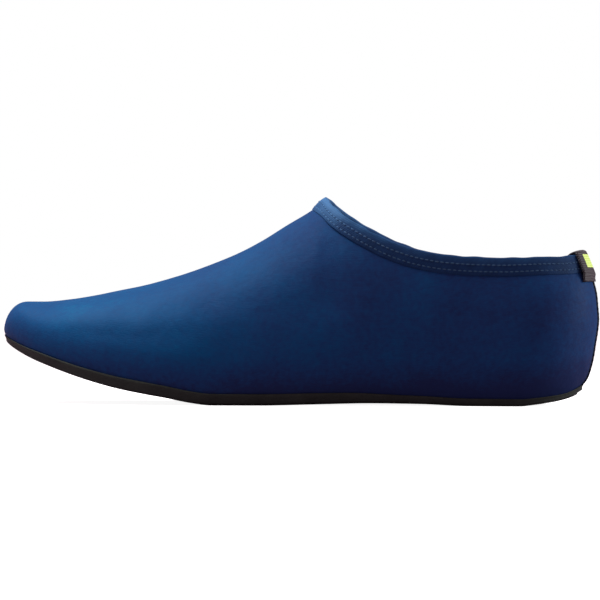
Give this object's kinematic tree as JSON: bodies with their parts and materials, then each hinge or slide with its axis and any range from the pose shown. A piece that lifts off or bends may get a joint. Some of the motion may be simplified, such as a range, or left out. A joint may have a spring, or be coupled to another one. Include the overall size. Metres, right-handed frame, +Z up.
{
  "type": "water shoe",
  "caption": "Slip-on left water shoe: a hollow stretch-fabric sock upper with a taped collar and a heel pull tab, on a thin rubber sole with raised toe.",
  "frame": {"origin": "on the floor under the middle of the shoe's box", "axes": "+X from toe to heel, +Y to the inner side of the foot, +Z up"},
  "size_m": [0.2496, 0.0882, 0.086],
  "materials": {
    "stretch_fabric": "satin",
    "black_rubber": "matt",
    "liner_foam": "matt",
    "collar_tape": "satin",
    "black_webbing": "ribbed"
  },
  "bodies": {
    "root": {"upper": "stretch_fabric", "outsole": "black_rubber", "insole": "liner_foam", "collar_binding": "collar_tape", "heel_pull_tab": "black_webbing"}
  },
  "joints": []
}
